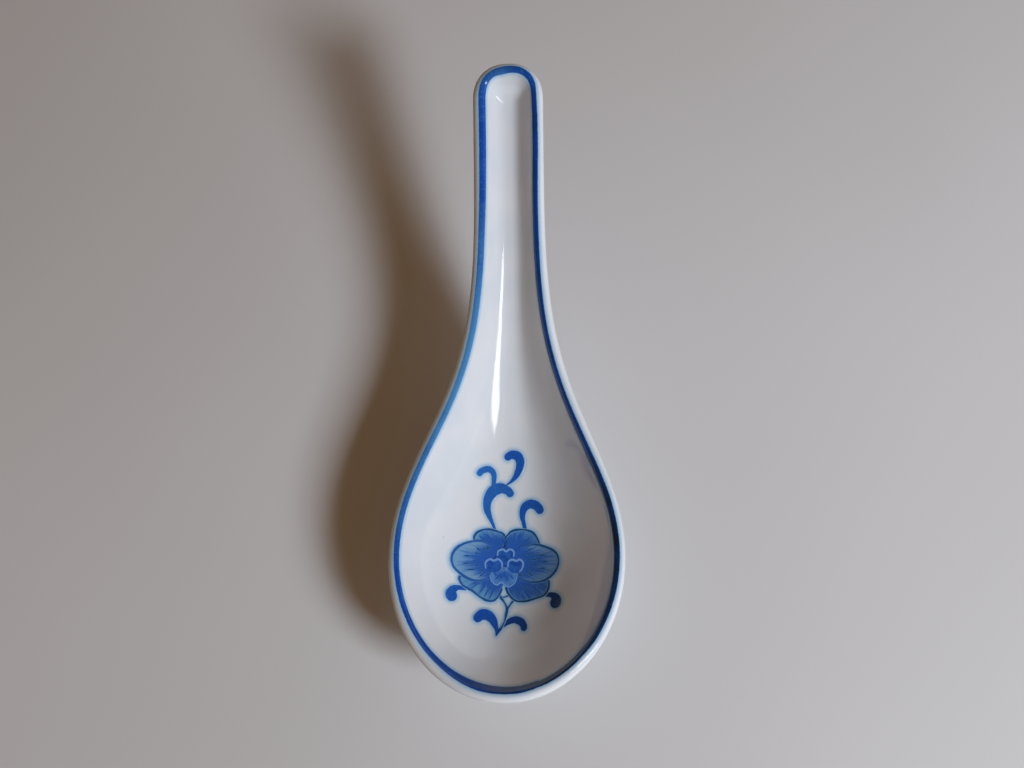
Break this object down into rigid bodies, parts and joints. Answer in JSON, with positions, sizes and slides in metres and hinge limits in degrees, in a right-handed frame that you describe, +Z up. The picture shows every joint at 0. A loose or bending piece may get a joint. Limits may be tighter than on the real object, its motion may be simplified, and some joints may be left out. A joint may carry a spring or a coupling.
{
  "type": "soup spoon",
  "caption": "Porcelain soup spoon with a deep oval bowl, a channelled handle that climbs to a rounded tip, a low foot ring, a blue line on its lip and a painted blue flower.",
  "frame": {"origin": "on the table, under the middle of the spoon's whole length and width", "axes": "+Z up, +Y from the bowl towards the handle's tip, +X across the bowl"},
  "size_m": [0.0486, 0.1264, 0.0413],
  "materials": {
    "biscuit_porcelain": "bare fired clay, matt",
    "clear_glaze": "glossy",
    "cobalt_line": "glossy",
    "cobalt_deep": "glossy",
    "cobalt_wash": "glossy",
    "cobalt_pale": "glossy"
  },
  "bodies": {
    "root": {"porcelain_body": "biscuit_porcelain", "glaze_coat": "clear_glaze", "foot_well_glaze": "clear_glaze", "rim_line": "cobalt_line", "back_petals": "cobalt_wash", "lower_petals": "cobalt_wash", "side_petals": "cobalt_wash", "petal_contours": "cobalt_line", "petal_veins": "cobalt_line", "flower_heart": "cobalt_deep", "heart_contours": "cobalt_pale", "flower_stem": "cobalt_line", "scroll_leaves": "cobalt_deep"}
  },
  "joints": []
}
